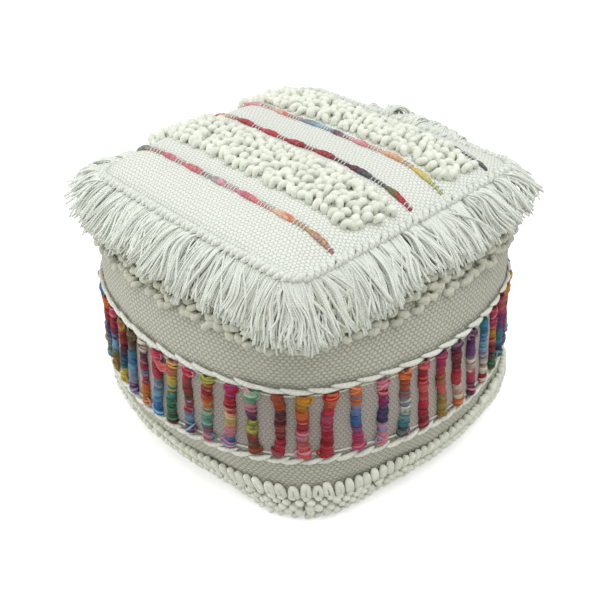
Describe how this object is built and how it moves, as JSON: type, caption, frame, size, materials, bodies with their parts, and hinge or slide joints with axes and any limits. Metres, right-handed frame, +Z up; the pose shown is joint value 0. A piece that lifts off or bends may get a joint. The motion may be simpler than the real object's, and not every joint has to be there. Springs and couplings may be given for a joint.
{
  "type": "wool pouf",
  "caption": "Square stuffed wool pouf with a crowned striped top, corded and fringed edge, looped bands, yarn-wrapped bars round a swollen wall and a zipped base.",
  "frame": {"origin": "on the floor under the centre of the pouf", "axes": "+Z up; +X along the top's stripes and the zip, +Y towards the back edge of the top"},
  "size_m": [0.5732, 0.5732, 0.3998],
  "materials": {
    "ivory_weave": "undyed wool in a coarse plain weave",
    "loop_pile": "thick soft wool roving in loops",
    "fringe_yarn": "plied ivory wool yarn",
    "chain_yarn": "thick white wool yarn in chain stitch",
    "dyed_yarn": "space-dyed wool yarn wound round the bars",
    "stripe_red": "space-dyed wool roving, red to gold",
    "stripe_plum": "space-dyed wool roving, coral to plum",
    "stripe_slate": "space-dyed wool roving, pink to slate and lime",
    "stripe_charcoal": "dark grey wool roving",
    "base_canvas": "plain undyed cotton canvas",
    "liner_cotton": "plain cotton",
    "fibre_fill": "loose fibre wadding",
    "zip_tape": "woven polyester tape",
    "zip_teeth": "moulded teeth",
    "zip_metal": "plain brushed metal"
  },
  "bodies": {
    "cover": {"top_panel": "ivory_weave", "side_wall": "ivory_weave", "loop_band_top_front": "loop_pile", "loop_band_top_back": "loop_pile", "loop_band_upper": "loop_pile", "loop_band_floor": "loop_pile", "colour_stripe_1": "stripe_red", "colour_stripe_2": "stripe_plum", "colour_stripe_3": "stripe_slate", "colour_stripe_4": "stripe_charcoal", "edge_braid": "fringe_yarn", "fringe_front": "fringe_yarn", "fringe_right": "fringe_yarn", "fringe_back": "fringe_yarn", "fringe_left": "fringe_yarn", "chain_stitch_upper": "chain_yarn", "chain_stitch_lower": "chain_yarn", "wrapped_bars_front": "dyed_yarn", "wrapped_bars_right": "dyed_yarn", "wrapped_bars_back": "dyed_yarn", "wrapped_bars_left": "dyed_yarn", "base_panel_front": "base_canvas", "base_panel_rear": "base_canvas", "liner": "liner_cotton", "filling": "fibre_fill", "zip_tape_front": "zip_tape", "zip_tape_rear": "zip_tape", "zip_teeth_front": "zip_teeth", "zip_teeth_rear": "zip_teeth", "zip_stop_open": "zip_metal", "zip_stop_closed": "zip_metal"},
    "slider": {"zip_slider": "zip_metal", "zip_pivot_pin": "zip_metal"},
    "pull": {"zip_pull": "zip_metal"}
  },
  "joints": [
    {"name": "zip_slide", "type": "slide", "parent": "cover", "child": "slider", "axis": [1, 0, 0], "range_m": [-0.286, 0], "deforming": ["zip_teeth_front", "zip_teeth_rear"]},
    {"name": "pull_hinge", "type": "hinge", "parent": "slider", "child": "pull", "pos_m": [0.1435, 0, 0.0038], "axis": [0, -1, 0], "range_deg": [0, 175]}
  ]
}
